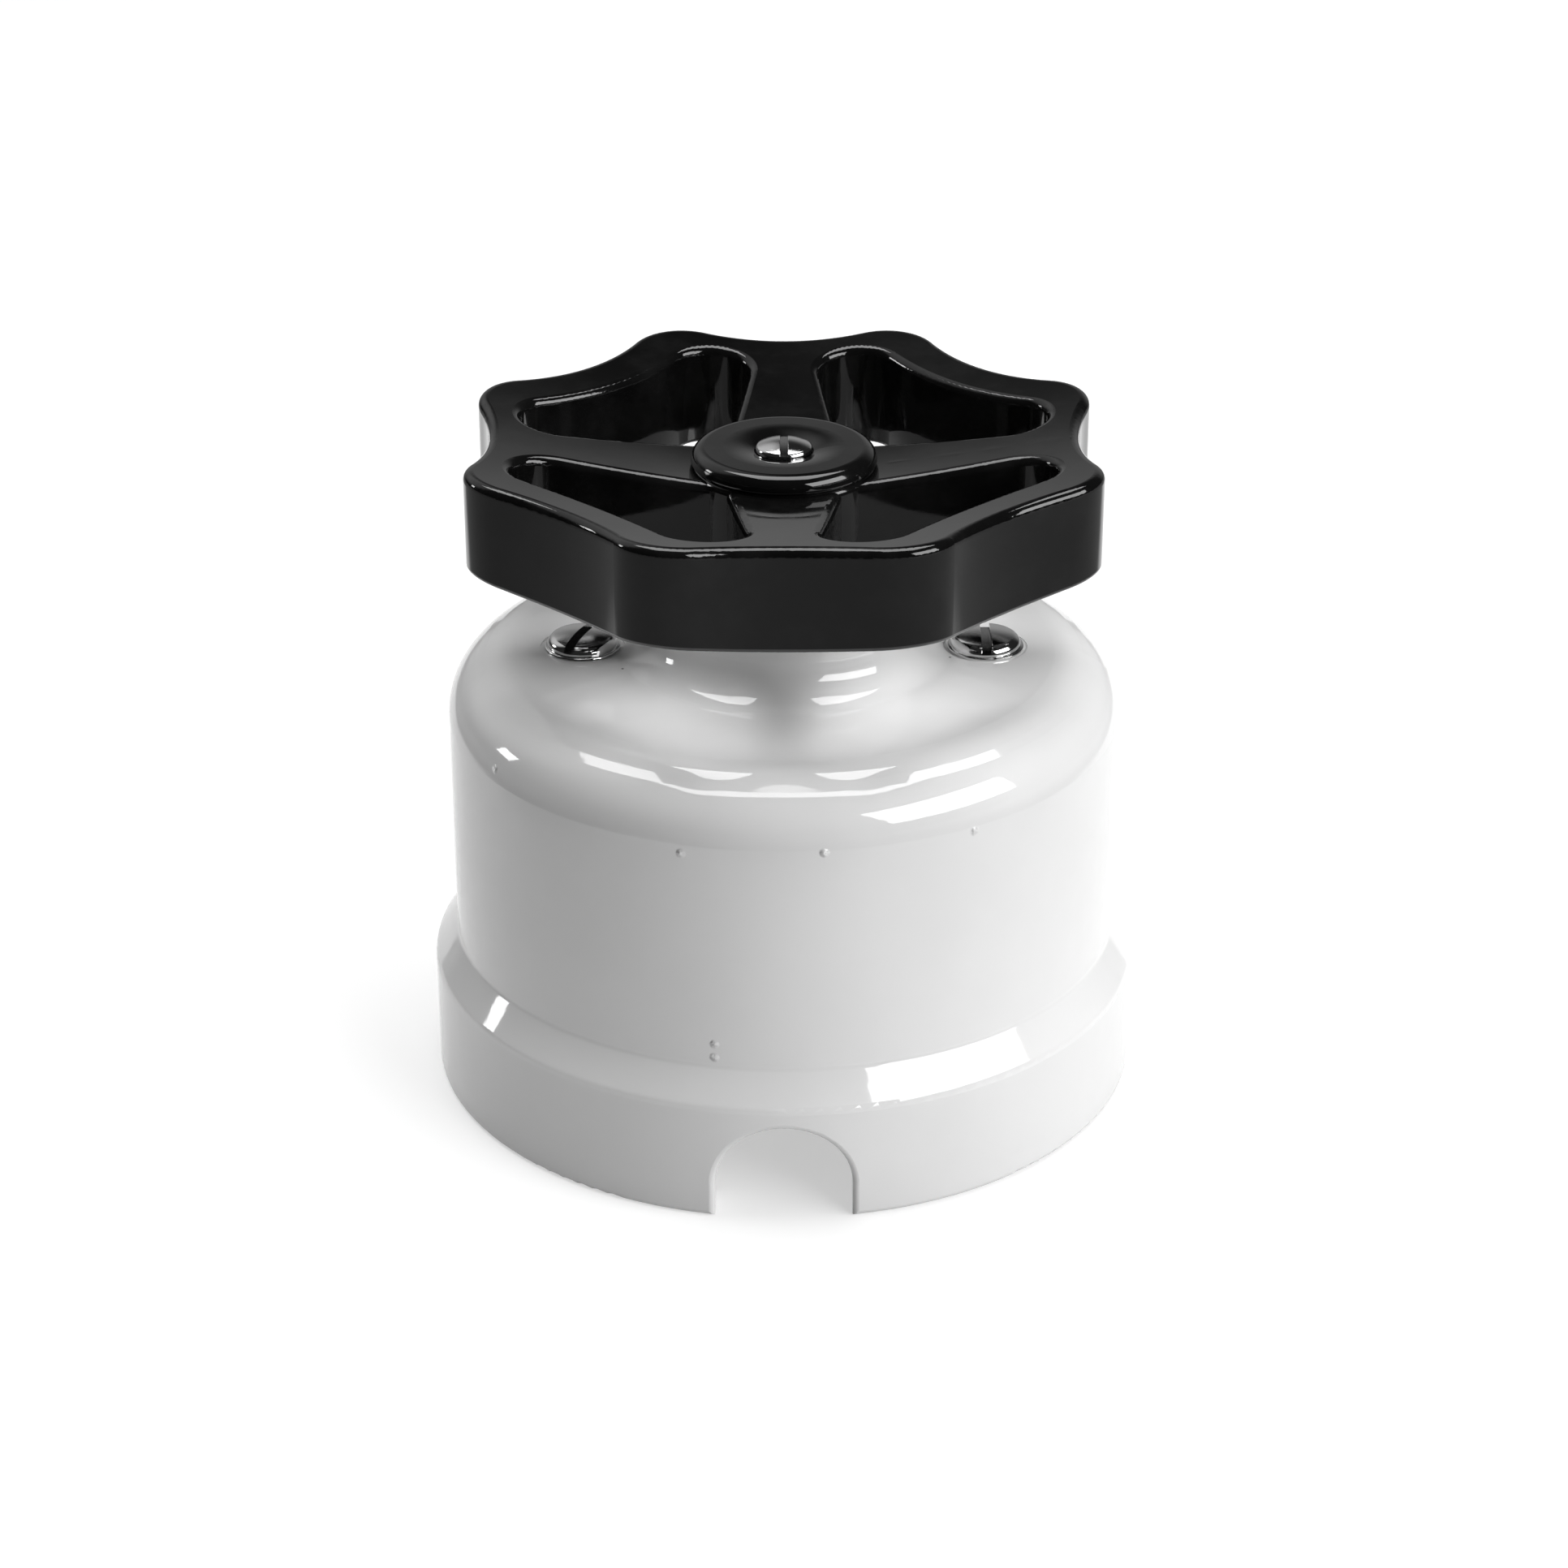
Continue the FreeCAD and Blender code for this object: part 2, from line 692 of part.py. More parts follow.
def lobed_wire():
    """Rim outline: round lobes joined by tangent hollow arcs."""
    pitch = 360 / lobe_count
    half = pitch / 2
    centre_distance = lobe_radius - lobe_round
    hollow = tangent_valley(centre_distance, lobe_round, valley_radius, half)
    edges = []
    for index in range(lobe_count):
        lobe_angle = half + pitch * index
        centre = polar(centre_distance, lobe_angle)
        hollow_before = polar(valley_radius + hollow, lobe_angle - half)
        hollow_after = polar(valley_radius + hollow, lobe_angle + half)
        start = centre + (hollow_before - centre).normalize() * lobe_round
        end = centre + (hollow_after - centre).normalize() * lobe_round
        edges.append(Part.Arc(start, polar(lobe_radius, lobe_angle), end).toShape())
        next_centre = polar(centre_distance, lobe_angle + pitch)
        next_start = next_centre + (hollow_after - next_centre).normalize() * lobe_round
        edges.append(Part.Arc(end, polar(valley_radius, lobe_angle + half), next_start).toShape())
    return Part.Wire(edges)


def mirrored(spot):
    """Reflection in the diagonal of the first quadrant."""
    return Vector(spot.y, spot.x, spot.z)


def window_wire():
    """Opening between two spokes, in the first quadrant and symmetric about its diagonal."""
    lean = math.radians(spoke_taper)
    along = Vector(-math.sin(lean), math.cos(lean), 0)
    across = Vector(math.cos(lean), math.sin(lean), 0)
    side_spot = Vector(spoke_half_width, spoke_narrow_radius, 0)
    arc_centre = polar(rim_inner_radius + rim_inner_arc_radius, 45)
    offset_spot = side_spot + across * window_outer_round
    gap = offset_spot - arc_centre
    reach = rim_inner_arc_radius + window_outer_round
    middle = gap.dot(along)
    slide = -middle - math.sqrt(middle ** 2 - gap.dot(gap) + reach ** 2)
    corner_centre = offset_spot + along * slide
    side_end = corner_centre - across * window_outer_round
    arc_end = corner_centre + (arc_centre - corner_centre).normalize() * window_outer_round
    outward = (corner_centre - (side_end + arc_end) * 0.5).normalize()
    corner_middle = corner_centre - outward * window_outer_round
    inner_offset = side_spot + across * window_inner_round
    inner_slide = (inner_offset.x - inner_offset.y) / (along.y - along.x)
    inner_centre = inner_offset + along * inner_slide
    side_start = inner_centre - across * window_inner_round
    inner_middle = inner_centre - polar(window_inner_round, 45)
    return Part.Wire([
        Part.makeLine(side_start, side_end),
        Part.Arc(side_end, corner_middle, arc_end).toShape(),
        Part.Arc(arc_end, polar(rim_inner_radius, 45), mirrored(arc_end)).toShape(),
        Part.Arc(mirrored(arc_end), mirrored(corner_middle), mirrored(side_end)).toShape(),
        Part.makeLine(mirrored(side_end), mirrored(side_start)),
        Part.Arc(mirrored(side_start), inner_middle, side_start).toShape(),
    ])


def from_axis(inner, middle, outer):
    """The arc through three points of the r-z plane, carried on inwards to the axis."""
    circle = Part.Circle(inner, middle, outer)
    rise = math.sqrt(circle.Radius ** 2 - circle.Center.x ** 2)
    start = circle.Center.z + math.copysign(rise, inner.z - circle.Center.z)
    return [point(0, start), middle, outer]


def make_handwheel():
    """Dished handwheel: lobed rim, four spokes and a hub with a square socket."""
    outside = lobe_radius + outer_margin
    slope = (dish_top_rim - dish_top_mid) / (lobe_radius - dish_mid_radius)
    bottom_slope = (dish_bottom_rim - dish_bottom_mid) / (lobe_radius - dish_mid_radius)
    top_outside = point(outside, dish_top_rim + slope * outer_margin)
    bottom_outside = point(outside, dish_bottom_rim + bottom_slope * outer_margin)
    under_side = from_axis(point(dish_inner_radius, dish_bottom_hub),
                           point(dish_mid_radius, dish_bottom_mid), bottom_outside)
    upper_side = from_axis(point(dish_inner_radius, dish_top_hub),
                           point(dish_mid_radius, dish_top_mid), top_outside)
    dish = revolved([under_side, upper_side[::-1]])
    low = hub_bottom - outer_margin
    high = dish_top_rim + outer_margin
    wheel = dish.common(prism(lobed_wire(), low, high))
    window = prism(window_wire(), low, high)
    for index in range(spoke_count):
        wheel = wheel.cut(turned(window, 360 / spoke_count * index))
    between = (dish_top_hub + dish_bottom_rim) / 2
    wheel = wheel.makeFillet(wheel_top_round, wall_edges(wheel, between, high))
    wheel = wheel.makeFillet(wheel_bottom_round, wall_edges(wheel, low, between))
    hub = revolved([
        (point(0, hub_bottom), 0),
        (point(hub_radius, hub_bottom), hub_foot_round),
        (point(hub_radius, hub_top), hub_edge_round),
        (point(0, hub_top), 0),
    ])
    wheel = wheel.fuse(hub)
    return wheel.cut(square_bar(square_hole, hub_bottom, hub_top))


def is_upright(face):
    u_low, u_high, v_low, v_high = face.ParameterRange
    normal = face.normalAt((u_low + u_high) / 2, (v_low + v_high) / 2)
    return not isinstance(face.Surface, Part.SurfaceOfRevolution) and abs(normal.z) < 1e-6


def wall_edges(wheel, low, high):
    """Edges between an upright wall and a dished face, within a range of heights."""
    picked = []
    for edge in wheel.Edges:
        uprights = [is_upright(face) for face in wheel.ancestorsOfType(edge, Part.Face)]
        if len(uprights) != 2 or uprights.count(True) != 1:
            continue
        if low < edge.BoundBox.ZMin and edge.BoundBox.ZMax < high:
            picked.append(edge)
    return picked


def make_cap():
    """Glossy disc between the hub and the centre screw."""
    floor = hub_top + cap_recess_floor
    dish_angle = math.degrees(math.asin((cap_crest_radius - cap_recess_radius) / cap_dish_round))
    dish_centre = point(cap_crest_radius, cap_top - cap_dish_round)
    return revolved([
        (point(centre_screw_radius + screw_hole_clearance, hub_top), 0),
        (point(cap_radius, hub_top), cap_foot_round),
        (point(cap_radius, cap_top), cap_edge_round),
        arc_points(dish_centre, cap_dish_round, 90, 90 + dish_angle / 2, 90 + dish_angle),
        (point(cap_recess_radius, floor), 0),
        (point(centre_screw_radius + screw_hole_clearance, floor), 0),
    ])


def make_centre_screw():
    seat = hub_top + cap_recess_floor
    length = seat - spindle_top + spindle_tap_depth - tap_end_margin
    return slotted_screw(seat, centre_screw_radius, length, centre_screw_head_radius,
                         centre_screw_head_rim, centre_screw_head_dome,
                         centre_screw_slot_width, centre_screw_slot_depth)


def build_all():
    nodes = {
        "cover": make_cover(),
        "base": make_base(),
        "post_left": make_post(-1),
        "post_right": make_post(1),
        "post_screw_left": make_post_screw(-1),
        "post_screw_right": make_post_screw(1),
        "cover_screw_left": make_cover_screw(-1, left_slot_angle),
        "cover_screw_right": make_cover_screw(1, right_slot_angle),
        "contact_block": make_contact_block(),
        "block_screw_front": make_block_screw(-1),
        "block_screw_back": make_block_screw(1),
        "yoke": make_yoke(),
        "click_spring_left": make_click_spring(-1),
        "click_spring_right": make_click_spring(1),
        "neck_bushing": make_bushing(),
        "thrust_washer": make_washer(),
        "spindle": make_spindle(),
        "rotor_drum": make_drum(),
        "contact_bridge": make_contact_bridge(),
        "spacer": make_spacer(),
        "click_cam": make_cam(),
        "handwheel": make_handwheel(),
        "handwheel_cap": make_cap(),
        "handwheel_screw": make_centre_screw(),
    }
    for index, angle in enumerate(terminal_angles(), start=1):
        nodes["terminal_%d" % index] = make_terminal(angle)
        nodes["terminal_screw_%d" % index] = make_terminal_screw(angle)
        nodes["fixed_contact_%d" % index] = make_fixed_contact(angle)
    return nodes


os.makedirs("parts", exist_ok=True)
for name, shape in build_all().items():
    shape.exportStep("parts/%s.step" % name)
    solids = len(shape.Solids)
    box = shape.BoundBox
    print("%-20s solids %d valid %s volume %9.2f z %6.2f to %6.2f"
          % (name, solids, shape.isValid(), shape.Volume, box.ZMin, box.ZMax))
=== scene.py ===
# %% [markdown]
# # Porcelain rotary switch
# A surface-mounted rotary switch lies on its wall face. A white glazed cover carries a black handwheel,
# held by a cap disc and a slotted screw. The script dresses the solid model of the switch: it keeps every
# solid where it stands, gives each one a procedural finish, and sets the light and the camera.

# %% Load the frame
import json
import math

import bmesh
import bpy
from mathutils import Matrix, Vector


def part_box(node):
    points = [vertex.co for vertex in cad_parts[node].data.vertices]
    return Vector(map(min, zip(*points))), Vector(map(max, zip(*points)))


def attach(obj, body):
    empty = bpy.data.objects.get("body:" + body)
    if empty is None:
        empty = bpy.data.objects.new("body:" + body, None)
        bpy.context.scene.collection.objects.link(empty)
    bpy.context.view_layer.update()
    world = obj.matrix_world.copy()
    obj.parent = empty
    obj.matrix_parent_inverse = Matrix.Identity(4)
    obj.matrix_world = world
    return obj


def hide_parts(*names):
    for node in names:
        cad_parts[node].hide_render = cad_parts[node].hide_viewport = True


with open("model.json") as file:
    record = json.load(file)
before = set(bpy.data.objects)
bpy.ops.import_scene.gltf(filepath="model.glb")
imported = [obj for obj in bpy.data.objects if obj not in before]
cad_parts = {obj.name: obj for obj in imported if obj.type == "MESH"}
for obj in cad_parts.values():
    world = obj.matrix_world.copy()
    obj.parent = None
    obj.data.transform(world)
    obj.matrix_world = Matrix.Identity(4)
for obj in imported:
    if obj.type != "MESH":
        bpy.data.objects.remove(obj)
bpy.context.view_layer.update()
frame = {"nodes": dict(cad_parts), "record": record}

nodes = frame["nodes"]

# %% [markdown]
# A finish in Blender is a network of nodes. Written as Python expressions it stays readable, so one small
# class wraps a socket and turns `a * b` or `1 - a` into Math nodes. Everything else goes through one
# method, which takes the type of a node, its settings, and the values or links of its sockets.

# %% Shader expressions
class Link:
    """One output socket, with the arithmetic that the finishes use."""

    def __init__(self, graph, socket):
        self.graph = graph
        self.socket = socket

    def __add__(self, other):
        return self.graph.math("ADD", self, other)

    def __radd__(self, other):
        return self.graph.math("ADD", other, self)

    def __sub__(self, other):
        return self.graph.math("SUBTRACT", self, other)

    def __rsub__(self, other):
        return self.graph.math("SUBTRACT", other, self)

    def __mul__(self, other):
        return self.graph.math("MULTIPLY", self, other)

    def __rmul__(self, other):
        return self.graph.math("MULTIPLY", other, self)


class Graph:
    """The node tree of a material or of the world."""

    def __init__(self, tree):
        self.tree = tree
        tree.nodes.clear()

    def node(self, kind, settings=None, inputs=None, output=0):
        """Adds a node, sets its settings, then fills its sockets with values or links."""
        made = self.tree.nodes.new(kind)
        for name, value in (settings or {}).items():
            setattr(made, name, value)
        for name, value in (inputs or {}).items():
            if isinstance(value, Link):
                self.tree.links.new(value.socket, made.inputs[name])
            else:
                made.inputs[name].default_value = value
        return Link(self, made.outputs[output]) if made.outputs else None

    def math(self, operation, *values):
        """A Math node on links and numbers."""
        return self.node("ShaderNodeMath", {"operation": operation}, dict(enumerate(values)))


print("links can be added, subtracted and multiplied")

# %% [markdown]
# The helpers below are the small vocabulary of all finishes, and the first are the fields: where a point is
# on the object, a noise at a scale in millimetres, and a mask. Noise lies mostly between 0.3 and 0.7, so
# most masks start and end near there. Object coordinates are used because the solids have no unwrapped
# surface, and they don't stretch.

# %% Fields and masks
MM_PER_METRE = 1000.0


def object_place(graph):
    """Place on the object, in metres."""
    return graph.node("ShaderNodeTexCoord", output="Object")


def noise(graph, place, size_mm, detail=2.0, roughness=0.5, stretch=None):
    """Noise whose blobs are about size_mm across; stretch packs them closer along an axis."""
    if stretch:
        place = graph.node("ShaderNodeMapping", inputs={"Vector": place, "Scale": stretch})
    return graph.node("ShaderNodeTexNoise", inputs={
        "Vector": place, "Scale": MM_PER_METRE / size_mm, "Detail": detail, "Roughness": roughness})


def mask(graph, field, low, high, low_value=0.0, high_value=1.0):
    """Smooth step of a field from low_value to high_value."""
    return graph.node("ShaderNodeMapRange", {"interpolation_type": "SMOOTHSTEP"}, {
        "Value": field, "From Min": low, "From Max": high, "To Min": low_value, "To Max": high_value})


print("sizes of fields are in millimetres,", int(MM_PER_METRE), "to the metre")

# %% [markdown]
# The second half of the vocabulary turns fields into a surface: a blend of two colours, a bump, and the
# shader that every finish ends in. Colours go through a Mix node, because a Math node would turn them grey.
# Each material is kept by its name, which is also the name that the record of the model uses.

# %% Colours, bumps and materials
MIX_SOCKETS = (0, 6, 7)         # factor, first and second colour of a Mix node
MIX_RESULT = 2
FINISHES = {}


def tint(red, green, blue):
    return (red, green, blue, 1.0)


def grey(value):
    return tint(value, value, value)


def blend(graph, factor, first, second):
    """Mix of two colours."""
    inputs = dict(zip(MIX_SOCKETS, (factor, first, second)))
    return graph.node("ShaderNodeMix", {"data_type": "RGBA"}, inputs, output=MIX_RESULT)


def bump(graph, height, distance_mm, under=None):
    """Bump of a field from 0 to 1 that is distance_mm high, laid over the bump under it."""
    inputs = {"Height": height, "Distance": distance_mm / MM_PER_METRE, "Strength": 1.0}
    if under:
        inputs["Normal"] = under
    return graph.node("ShaderNodeBump", inputs=inputs)


def surface(graph, colour, roughness, normal, **other_sockets):
    """The shader that every finish of the switch ends in."""
    return graph.node("ShaderNodeBsdfPrincipled", inputs={
        "Base Color": colour, "Roughness": roughness, "Normal": normal, **other_sockets})


def finish(name, build):
    """Makes a material whose surface is the shader that build returns, and keeps it by its name."""
    material = bpy.data.materials.new(name)
    material.use_nodes = True
    graph = Graph(material.node_tree)
    graph.node("ShaderNodeOutputMaterial", inputs={"Surface": build(graph)})
    FINISHES[name] = material
    print("made", name, "with", len(material.node_tree.nodes), "nodes")
    return material


print("a full grey is", grey(1.0))

# %% [markdown]
# Here and there a pimple or a dark grain was fired into the glaze of the cover. Noise could scatter such
# flaws, but the photograph shows where they are, so each is the distance to its own point on the object.

# %% Flaws in the glaze
PIMPLES_MM = [
    (-8.7, -29.1, 34.2), (3.4, -30.2, 34.8), (16.2, -25.7, 34.6),
    (-25.2, -16.9, 36.2), (-6.0, -29.8, 16.1), (-6.0, -29.8, 14.8),
]
SPECKS_MM = [(-15.3, 0.2, 40.45), (-14.4, -5.1, 40.45), (14.9, -2.6, 40.45)]


def near(graph, place, centre_mm, radius_mm):
    """1 at a point of the object, falling to 0 at radius_mm from it."""
    centre = [value / MM_PER_METRE for value in centre_mm]
    distance = graph.node("ShaderNodeVectorMath", {"operation": "DISTANCE"},
                          {0: place, 1: centre}, output="Value")
    return mask(graph, distance, 0.0, radius_mm / MM_PER_METRE, 1.0, 0.0)


def dots(graph, place, centres_mm, radius_mm):
    """The sum of the same dot at several points."""
    total = near(graph, place, centres_mm[0], radius_mm)
    for centre in centres_mm[1:]:
        total = total + near(graph, place, centre, radius_mm)
    return total


print("flaws:", len(PIMPLES_MM), "pimples and", len(SPECKS_MM), "specks")

# %% [markdown]
# The cover is pressed porcelain under a clear glaze. The glaze lies unevenly, so reflections of the studio
# lamps wander a little. The body colour is a neutral white. A coat over the base would be another way to
# lay a glaze, but here the glaze is all that is seen, so its gloss is the base's own.

# %% White glaze with pimples and specks
PIMPLE_RADIUS_MM = 0.50
PIMPLE_RAGGEDNESS_MM = 0.4
PIMPLE_HEIGHT_MM = 0.42
SPECK_RADIUS_MM = 0.2
SPECK_EDGE = (0.2, 0.6)
SPECK_GREY = 0.12
GLAZE_WAVE_MM, GLAZE_WAVE_SHARE = 14.0, 0.75
GLAZE_PEEL_MM, GLAZE_PEEL_SHARE = 2.2, 0.25
GLAZE_RELIEF_MM = 0.05
GLAZE_CLOUD_MM = 18.0
GLAZE_GREYS = (0.73, 0.76)
GLAZE_ROUGHNESS = (0.03, 0.055)
GLAZE_IOR = 1.6


def build_white_glaze(graph):
    place = object_place(graph)
    waviness = noise(graph, place, GLAZE_WAVE_MM, detail=1.0)
    orange_peel = noise(graph, place, GLAZE_PEEL_MM)
    flow = bump(graph, waviness * GLAZE_WAVE_SHARE + orange_peel * GLAZE_PEEL_SHARE, GLAZE_RELIEF_MM)
    pimples = dots(graph, place, PIMPLES_MM, PIMPLE_RADIUS_MM)
    ragged = pimples * noise(graph, place, PIMPLE_RAGGEDNESS_MM, detail=1.0)
    normal = bump(graph, ragged, PIMPLE_HEIGHT_MM, under=flow)
    cloud = noise(graph, place, GLAZE_CLOUD_MM, detail=3.0)
    white = blend(graph, mask(graph, cloud, 0.35, 0.7), grey(GLAZE_GREYS[0]), grey(GLAZE_GREYS[1]))
    specks = mask(graph, dots(graph, place, SPECKS_MM, SPECK_RADIUS_MM), *SPECK_EDGE)
    colour = blend(graph, specks, white, grey(SPECK_GREY))
    return surface(graph, colour, mask(graph, cloud, 0.3, 0.7, *GLAZE_ROUGHNESS), normal, IOR=GLAZE_IOR)


finish("white_glaze", build_white_glaze)

# %% [markdown]
# The wheel and its cap are black moulded phenolic resin, polished by hands. The gloss is high, but the
# surface keeps soft smudges, which show as changes of roughness and not of colour. A faint long swell, left
# by the mould, bends the edges of the reflections.

# %% Black gloss of the wheel
RESIN_SWELL_MM, RESIN_SWELL_SHARE = 9.0, 0.8
RESIN_GRAIN_MM, RESIN_GRAIN_SHARE = 0.5, 0.02
RESIN_RELIEF_MM = 0.05
RESIN_SMUDGE_MM = 5.0
RESIN_GREYS = (0.003, 0.006)
RESIN_ROUGHNESS = (0.04, 0.10)
RESIN_IOR = 1.5


def build_black_gloss(graph):
    place = object_place(graph)
    swell = noise(graph, place, RESIN_SWELL_MM, detail=1.0)
    smudge = noise(graph, place, RESIN_SMUDGE_MM, detail=4.0, roughness=0.65)
    grain = noise(graph, place, RESIN_GRAIN_MM)
    normal = bump(graph, swell * RESIN_SWELL_SHARE + grain * RESIN_GRAIN_SHARE, RESIN_RELIEF_MM)
    colour = blend(graph, mask(graph, smudge, 0.4, 0.7), grey(RESIN_GREYS[0]), grey(RESIN_GREYS[1]))
    return surface(graph, colour, mask(graph, smudge, 0.35, 0.75, *RESIN_ROUGHNESS), normal, IOR=RESIN_IOR)


finish("black_gloss", build_black_gloss)

# %% [markdown]
# The three screws in sight are nickel plated. Turning and polishing leave fine scratches, and plating
# softens the edges, so roughness varies from one place to the next. The slot was sawn and never polished,
# so its walls get a duller metal, made darker still as painted shade in the narrow recess, with the marks
# of the saw, as a second material on the same piece.

# %% Bright plating, and slot metal with painted shade
PLATING_SCRATCH_MM = 0.5
PLATING_SCRATCH_STRETCH = (1.0, 12.0, 1.0)
PLATING_SCRATCH_DEPTH_MM = 0.004
PLATING_CLOUD_MM = 1.5
PLATING_GREYS = (0.66, 0.74)
PLATING_ROUGHNESS = (0.04, 0.09)
SAW_MARK_MM = 0.4
SAW_MARK_STRETCH = (8.0, 1.0, 1.0)
SAW_MARK_DEPTH_MM = 0.01
# Greys of the slot: duller sawn metal, darkened further as painted shade in the narrow recess.
SLOT_SHADE_AND_METAL_GREYS = (0.10, 0.26)
SLOT_ROUGHNESS = (0.10, 0.22)


def build_bright_plating(graph):
    place = object_place(graph)
    scratch = noise(graph, place, PLATING_SCRATCH_MM, detail=4.0, roughness=0.6,
                    stretch=PLATING_SCRATCH_STRETCH)
    dull = noise(graph, place, PLATING_CLOUD_MM, detail=3.0)
    colour = blend(graph, dull, grey(PLATING_GREYS[0]), grey(PLATING_GREYS[1]))
    normal = bump(graph, scratch, PLATING_SCRATCH_DEPTH_MM)
    return surface(graph, colour, mask(graph, dull, 0.3, 0.7, *PLATING_ROUGHNESS), normal, Metallic=1.0)


# Painted shade: the slot's metal is made much darker than sawn metal, as the recess looks in shade.
def build_slot_shade_and_bare_metal(graph):
    place = object_place(graph)
    saw_marks = noise(graph, place, SAW_MARK_MM, detail=3.0, stretch=SAW_MARK_STRETCH)
    colour = blend(graph, saw_marks, grey(SLOT_SHADE_AND_METAL_GREYS[0]), grey(SLOT_SHADE_AND_METAL_GREYS[1]))
    normal = bump(graph, saw_marks, SAW_MARK_DEPTH_MM)
    return surface(graph, colour, mask(graph, saw_marks, 0.3, 0.7, *SLOT_ROUGHNESS), normal, Metallic=1.0)


finish("bright_plating", build_bright_plating)
# The slot's metal, partly painted shade in the recess.
finish("slot_shade_and_bare_metal", build_slot_shade_and_bare_metal)

# %% [markdown]
# Base and contact block are unglazed porcelain: matt, slightly cloudy and grainy. They are seen only when
# the switch is taken apart. Both are the same recipe in two tints, so one function returns the builder of
# each.

# %% Unglazed porcelain of base and block
CERAMIC_CLOUD_MM = 6.0
CERAMIC_ROUGHNESS = (0.5, 0.72)
CERAMIC_GRAIN_DEPTH_MM = 0.03
CERAMICS = {       # pale tint, dark tint, size of the grain in mm
    "base_porcelain": (tint(0.78, 0.77, 0.74), tint(0.70, 0.69, 0.66), 0.4),
    "block_ceramic": (tint(0.70, 0.68, 0.62), tint(0.62, 0.60, 0.54), 0.3),
}


def build_ceramic(pale, dark, grain_mm):
    def build(graph):
        place = object_place(graph)
        cloud = noise(graph, place, CERAMIC_CLOUD_MM, detail=4.0)
        grain = noise(graph, place, grain_mm, detail=3.0)
        colour = blend(graph, mask(graph, cloud, 0.35, 0.7), pale, dark)
        roughness = mask(graph, grain, 0.3, 0.7, *CERAMIC_ROUGHNESS)
        return surface(graph, colour, roughness, bump(graph, grain, CERAMIC_GRAIN_DEPTH_MM))
    return build


for name, looks in CERAMICS.items():
    finish(name, build_ceramic(*looks))

# %% [markdown]
# Metal parts of the mechanism are drawn, stamped or turned, so they carry long fine scratches, and they
# tarnish in patches, which are both darker and duller than the bright metal. Brass, bronze and the two
# steels differ only in tint and gloss, so again one recipe serves them all.

# %% Metals of the mechanism
METAL_PATCH_MM = 3.0
METAL_SCRATCH_MM = 0.6
METAL_SCRATCH_STRETCH = (1.0, 1.0, 10.0)
METAL_SCRATCH_DEPTH_MM = 0.006
METALS = {         # bright tint, tarnished tint, roughness of both
    "brass": (tint(0.72, 0.52, 0.22), tint(0.50, 0.34, 0.14), (0.22, 0.36)),
    "contact_bronze": (tint(0.62, 0.36, 0.18), tint(0.45, 0.24, 0.12), (0.26, 0.4)),
    "steel": (tint(0.50, 0.50, 0.50), tint(0.38, 0.37, 0.35), (0.26, 0.42)),
    "spring_steel": (tint(0.36, 0.37, 0.40), tint(0.22, 0.22, 0.25), (0.22, 0.34)),
}


def build_metal(bright, tarnish, roughness_range):
    def build(graph):
        place = object_place(graph)
        patch = noise(graph, place, METAL_PATCH_MM, detail=4.0)
        scratch = noise(graph, place, METAL_SCRATCH_MM, detail=4.0, stretch=METAL_SCRATCH_STRETCH)
        colour = blend(graph, mask(graph, patch, 0.4, 0.75), bright, tarnish)
        roughness = mask(graph, patch, 0.3, 0.75, *roughness_range)
        normal = bump(graph, scratch, METAL_SCRATCH_DEPTH_MM)
        return surface(graph, colour, roughness, normal, Metallic=1.0)
    return build


for name, looks in METALS.items():
    finish(name, build_metal(*looks))

# %% [markdown]
# The moulded pieces on the spindle are brown phenolic resin with a wood filler. The filler shows as flow
# marks, so one noise field drives colour, roughness and bump together, as it does on the real moulding.

# %% Brown moulding of the rotor
MOULDING_FLOW_MM = 3.0
MOULDING_TINTS = (tint(0.030, 0.012, 0.006), tint(0.060, 0.026, 0.013))
MOULDING_ROUGHNESS = (0.28, 0.42)
MOULDING_FLOW_DEPTH_MM = 0.02


def build_brown_moulding(graph):
    place = object_place(graph)
    flow = noise(graph, place, MOULDING_FLOW_MM, detail=5.0, roughness=0.7)
    colour = blend(graph, mask(graph, flow, 0.35, 0.7), *MOULDING_TINTS)
    roughness = mask(graph, flow, 0.3, 0.7, *MOULDING_ROUGHNESS)
    return surface(graph, colour, roughness, bump(graph, flow, MOULDING_FLOW_DEPTH_MM))


finish("brown_moulding", build_brown_moulding)

# %% [markdown]
# Each solid keeps its mesh and only changes its material. The record of the model says which finish each
# solid wears, so the table is read from there and not written twice.

# %% Dress the solids
for part in frame["record"]["subparts"]:
    solid = nodes[part["node"]]
    for slot in solid.material_slots:
        slot.material = FINISHES[part["material_slot"]]
print("dressed", len(nodes), "solids")

# %% [markdown]
# The three screws in sight were turned from bar: a nearly flat crown, a tight shoulder and a thin lip.
# Bright plating is a mirror, so it shows every step of a curve, also those of the solids' meshes. So the
# screws are made once more in three steps, and the first is a profile of arcs, in millimetres.

# %% Profile of a screw
ARC_STEPS = 14
LIP_CHAMFER_MM = 0.05
TIP_CHAMFER_SHARE = 0.25
COVER_SCREW = {"shank_radius": 1.75, "head_radius": 3.45, "head_height": 1.52, "lip_width": 0.25,
               "crown_radius": 12.0, "shoulder_radius": 0.9}
CENTRE_SCREW = {"shank_radius": 1.45, "head_radius": 2.58, "head_height": 1.45, "lip_width": 0.06,
                "crown_radius": 5.5, "shoulder_radius": 0.42}


def arc(across, up, radius, start, end):
    """Points of a profile on an arc between two angles, in degrees up from the outward direction."""
    angles = [math.radians(start + (end - start) * step / ARC_STEPS) for step in range(ARC_STEPS + 1)]
    return [(across + radius * math.cos(angle), up + radius * math.sin(angle)) for angle in angles]


